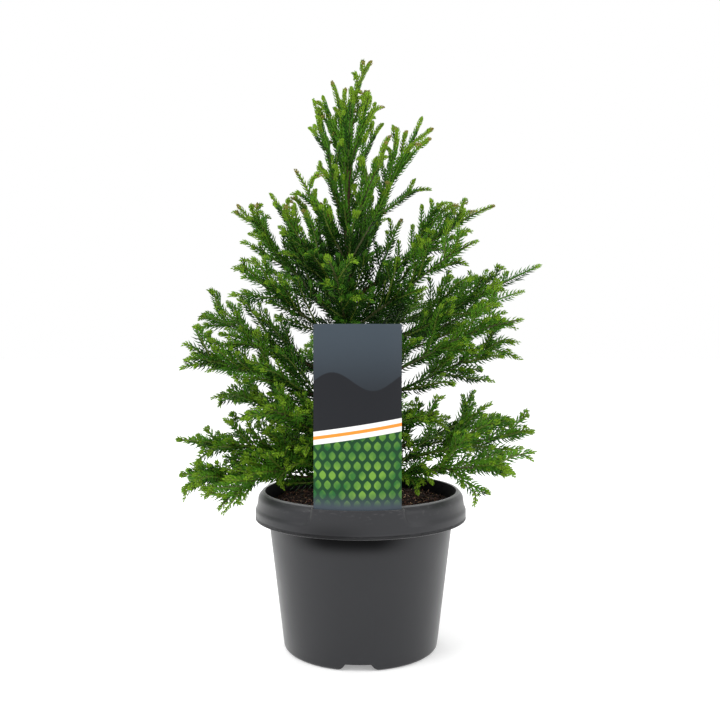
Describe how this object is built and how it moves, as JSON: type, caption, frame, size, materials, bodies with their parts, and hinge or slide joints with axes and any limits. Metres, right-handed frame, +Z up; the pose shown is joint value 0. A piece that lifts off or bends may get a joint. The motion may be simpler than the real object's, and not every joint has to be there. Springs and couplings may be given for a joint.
{
  "type": "potted cryptomeria",
  "caption": "Young dwarf cryptomeria conifer with ascending needle-covered shoots on a slender trunk, in a dark grey nursery pot with soil and a picture label standing in the rim's pocket.",
  "frame": {"origin": "middle of the pot's flat underside, on the surface the pot stands on", "axes": "+Z up along the trunk, -Y towards the front where the label stands, +X to the right seen from the front"},
  "size_m": [0.3019, 0.2197, 0.4882],
  "materials": {
    "pot": "satin",
    "soil": "matte",
    "label": "satin",
    "bark": "matte",
    "needles": "satin"
  },
  "bodies": {
    "root": {"pot": "pot", "soil": "soil", "label_card": "label", "trunk": "bark", "bough_back_b": "bark", "bough_back_c": "bark", "bough_back_d": "bark", "bough_back_e": "bark", "bough_back_f": "bark", "bough_left_a": "bark", "bough_left_c": "bark", "bough_left_d": "bark", "bough_left_e": "bark", "bough_left_f": "bark", "bough_left_g": "bark", "bough_left_h": "bark", "bough_right_a": "bark", "bough_right_c": "bark", "bough_right_d": "bark", "bough_right_e": "bark", "bough_right_f": "bark", "bough_right_g": "bark", "bough_right_h": "bark", "bough_right_i": "bark", "foliage_back_a": "needles", "foliage_back_b": "needles", "foliage_back_c": "needles", "foliage_back_d": "needles", "foliage_back_e": "needles", "foliage_back_f": "needles", "foliage_front_a": "needles", "foliage_front_b": "needles", "foliage_leader": "needles", "foliage_left_a": "needles", "foliage_left_b": "needles", "foliage_left_c": "needles", "foliage_left_d": "needles", "foliage_left_e": "needles", "foliage_left_f": "needles", "foliage_left_g": "needles", "foliage_left_h": "needles", "foliage_left_i": "needles", "foliage_left_j": "needles", "foliage_left_k": "needles", "foliage_right_a": "needles", "foliage_right_b": "needles", "foliage_right_c": "needles", "foliage_right_d": "needles", "foliage_right_e": "needles", "foliage_right_f": "needles", "foliage_right_g": "needles", "foliage_right_h": "needles", "foliage_right_i": "needles", "foliage_right_j": "needles", "foliage_spire_left": "needles", "foliage_spire_right": "needles", "foliage_spires_far_left": "needles", "foliage_spires_low_left": "needles", "foliage_spires_low_right": "needles", "foliage_spires_right": "needles"}
  },
  "joints": []
}
